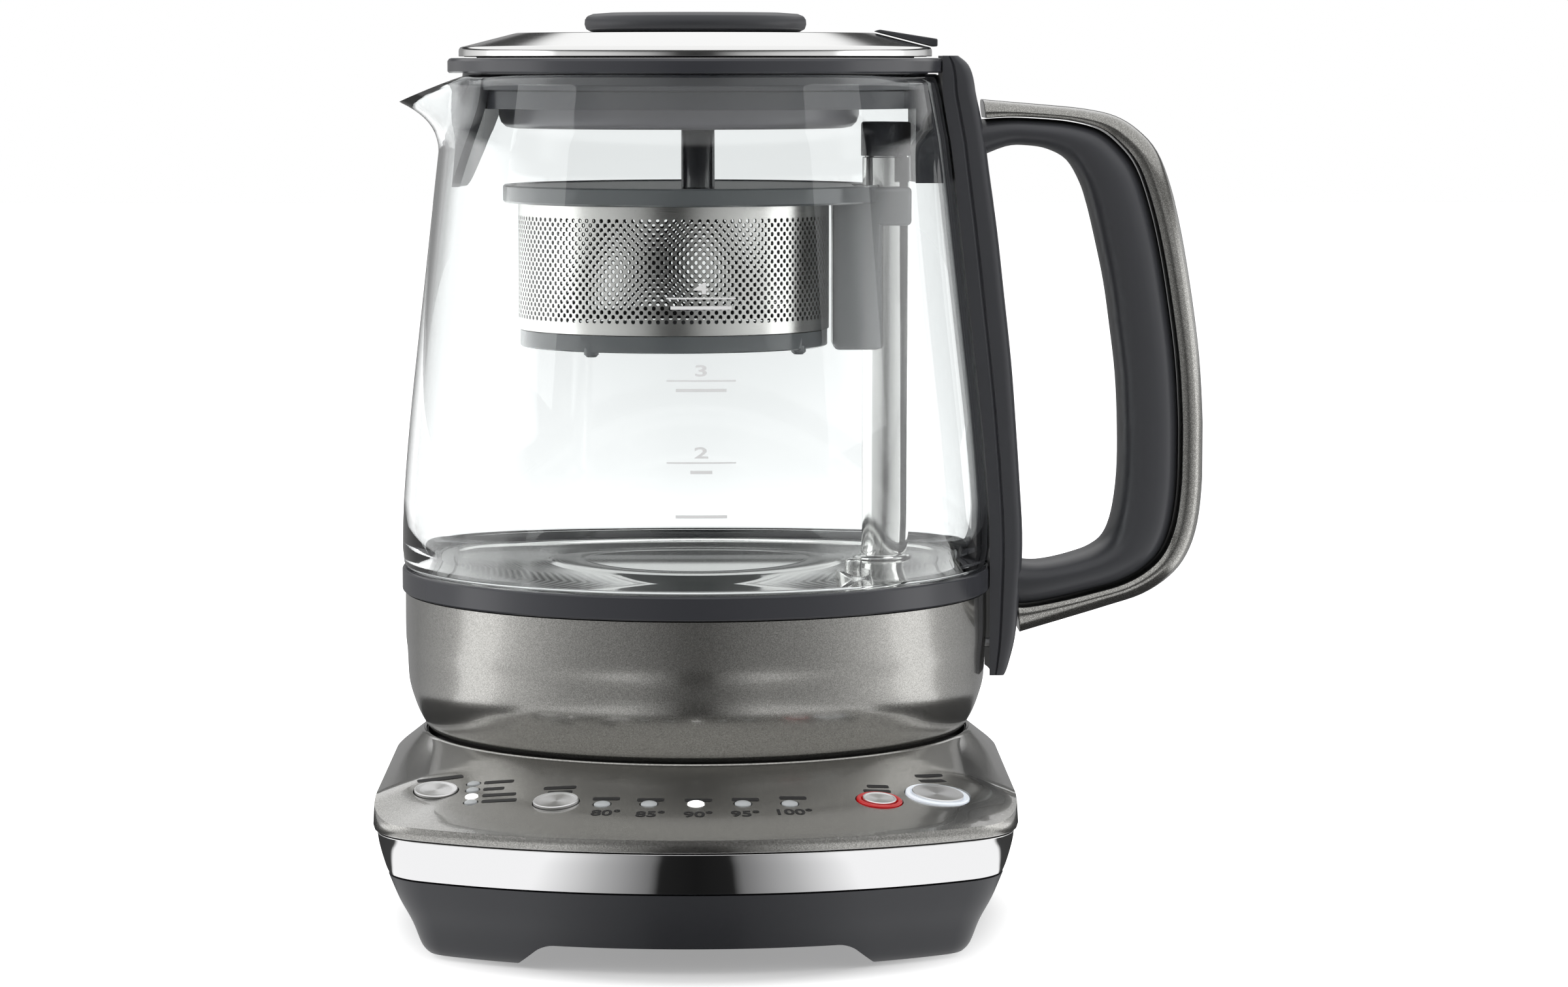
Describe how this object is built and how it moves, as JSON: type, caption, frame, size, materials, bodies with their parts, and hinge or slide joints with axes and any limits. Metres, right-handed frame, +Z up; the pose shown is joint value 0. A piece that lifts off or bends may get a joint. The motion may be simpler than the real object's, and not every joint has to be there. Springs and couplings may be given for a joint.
{
  "type": "automatic tea maker",
  "caption": "Glass jug with a driven tea basket on a post, loop handle and lift-off lid, standing on a power base with a sloping button panel.",
  "frame": {"origin": "middle of the footprint box of the whole object, on the table", "axes": "+Z up; the button panel faces -Y; the handle points to +X and the pouring spout to -X"},
  "size_m": [0.21, 0.2004, 0.2297],
  "materials": {
    "dark_plastic": "dark grey satin plastic",
    "black_plastic": "black plastic",
    "pearl_shell": "pearl gunmetal paint on plastic",
    "polished_band": "polished metal band",
    "foot_rubber": "grey rubber",
    "screw_steel": "plain steel",
    "button_steel": "spun metal face",
    "circuit_board": "green board",
    "clear_lens": "clear lens",
    "white_light": "clear light ring",
    "red_light": "red light ring",
    "jug_glass": "clear borosilicate glass",
    "heater_steel": "polished heater plate",
    "post_steel": "satin steel tube",
    "lid_steel": "polished steel cap",
    "basket_steel": "perforated steel",
    "drive_brass": "plain brass",
    "silicone": "pale silicone",
    "smoked_plastic": "smoked clear plastic"
  },
  "bodies": {
    "base": {"base_tray": "dark_plastic", "base_chrome_band": "polished_band", "base_cover": "pearl_shell", "rubber_foot_front_left": "foot_rubber", "rubber_foot_front_right": "foot_rubber", "rubber_foot_rear_left": "foot_rubber", "rubber_foot_rear_right": "foot_rubber", "base_screw_front_left": "screw_steel", "base_screw_front_right": "screw_steel", "base_screw_rear_left": "screw_steel", "base_screw_rear_right": "screw_steel", "power_connector_base": "black_plastic", "power_board": "circuit_board", "control_board": "circuit_board", "strength_light_bar": "clear_lens", "temperature_light_bar": "clear_lens", "keep_warm_light_ring": "red_light", "start_light_ring": "white_light", "cord_gland": "black_plastic"},
    "strength_button": {"strength_button": "button_steel"},
    "select_temp_button": {"select_temp_button": "button_steel"},
    "keep_warm_button": {"keep_warm_button": "button_steel"},
    "start_cancel_button": {"start_cancel_button": "button_steel"},
    "jug": {"glass_jug": "jug_glass", "jug_collar": "dark_plastic", "jug_band": "dark_plastic", "jug_shell": "pearl_shell", "jug_bottom_plate": "black_plastic", "jug_connector": "black_plastic", "jug_chassis": "black_plastic", "heater_plate": "heater_steel", "heater_element": "heater_steel", "glass_seal": "silicone", "post": "post_steel", "post_cap": "post_steel", "lift_bearing": "drive_brass", "temperature_sensor": "post_steel", "handle_body": "dark_plastic", "handle_strap": "pearl_shell", "lift_motor": "screw_steel", "jug_screw_1": "screw_steel", "jug_screw_2": "screw_steel", "jug_screw_3": "screw_steel", "handle_screw_lower": "screw_steel"},
    "lid": {"lid_cap": "lid_steel", "lid_plug": "dark_plastic", "lid_seal": "silicone", "lid_knob": "dark_plastic", "lid_tab": "dark_plastic"},
    "basket": {"basket_sleeve": "basket_steel", "basket_frame": "smoked_plastic", "basket_foot_ring": "smoked_plastic", "basket_magnet": "screw_steel", "lift_nut": "drive_brass"},
    "lead_screw": {"lead_screw": "screw_steel"},
    "basket_lid": {"basket_lid": "smoked_plastic"}
  },
  "joints": [
    {"name": "jug_lift", "type": "slide", "parent": "base", "child": "jug", "axis": [0, 0, 1], "range_m": [0, 0.06]},
    {"name": "lid_lift", "type": "slide", "parent": "jug", "child": "lid", "axis": [0, 0, 1], "range_m": [0, 0.05]},
    {"name": "basket_drop", "type": "slide", "parent": "jug", "child": "basket", "axis": [0, 0, -1], "range_m": [0, 0.05]},
    {"name": "lead_screw_turn", "type": "hinge", "parent": "jug", "child": "lead_screw", "pos_m": [0.02285, 0.02175, 0.1], "axis": [0, 0, 1], "range_deg": [0, 1128]},
    {"name": "basket_lid_lift", "type": "slide", "parent": "basket", "child": "basket_lid", "axis": [0, 0, 1], "range_m": [0, 0.02]},
    {"name": "strength_press", "type": "slide", "parent": "base", "child": "strength_button", "axis": [0.0385, 0.1898, -0.9811], "range_m": [0, 0.0008], "stiffness_N_per_m": 600},
    {"name": "select_temp_press", "type": "slide", "parent": "base", "child": "select_temp_button", "axis": [0.0517, 0.1794, -0.9824], "range_m": [0, 0.0008], "stiffness_N_per_m": 600},
    {"name": "keep_warm_press", "type": "slide", "parent": "base", "child": "keep_warm_button", "axis": [-0.0834, 0.1655, -0.9827], "range_m": [0, 0.0008], "stiffness_N_per_m": 600},
    {"name": "start_cancel_press", "type": "slide", "parent": "base", "child": "start_cancel_button", "axis": [-0.1084, 0.148, -0.983], "range_m": [0, 0.0008], "stiffness_N_per_m": 600}
  ],
  "couplings": [
    {"joint": "lead_screw_turn", "follows": "basket_drop", "rad_per_m": 392.7},
    {"joint": "basket_lid_lift", "follows": "lid_lift", "ratio": 0.4}
  ]
}
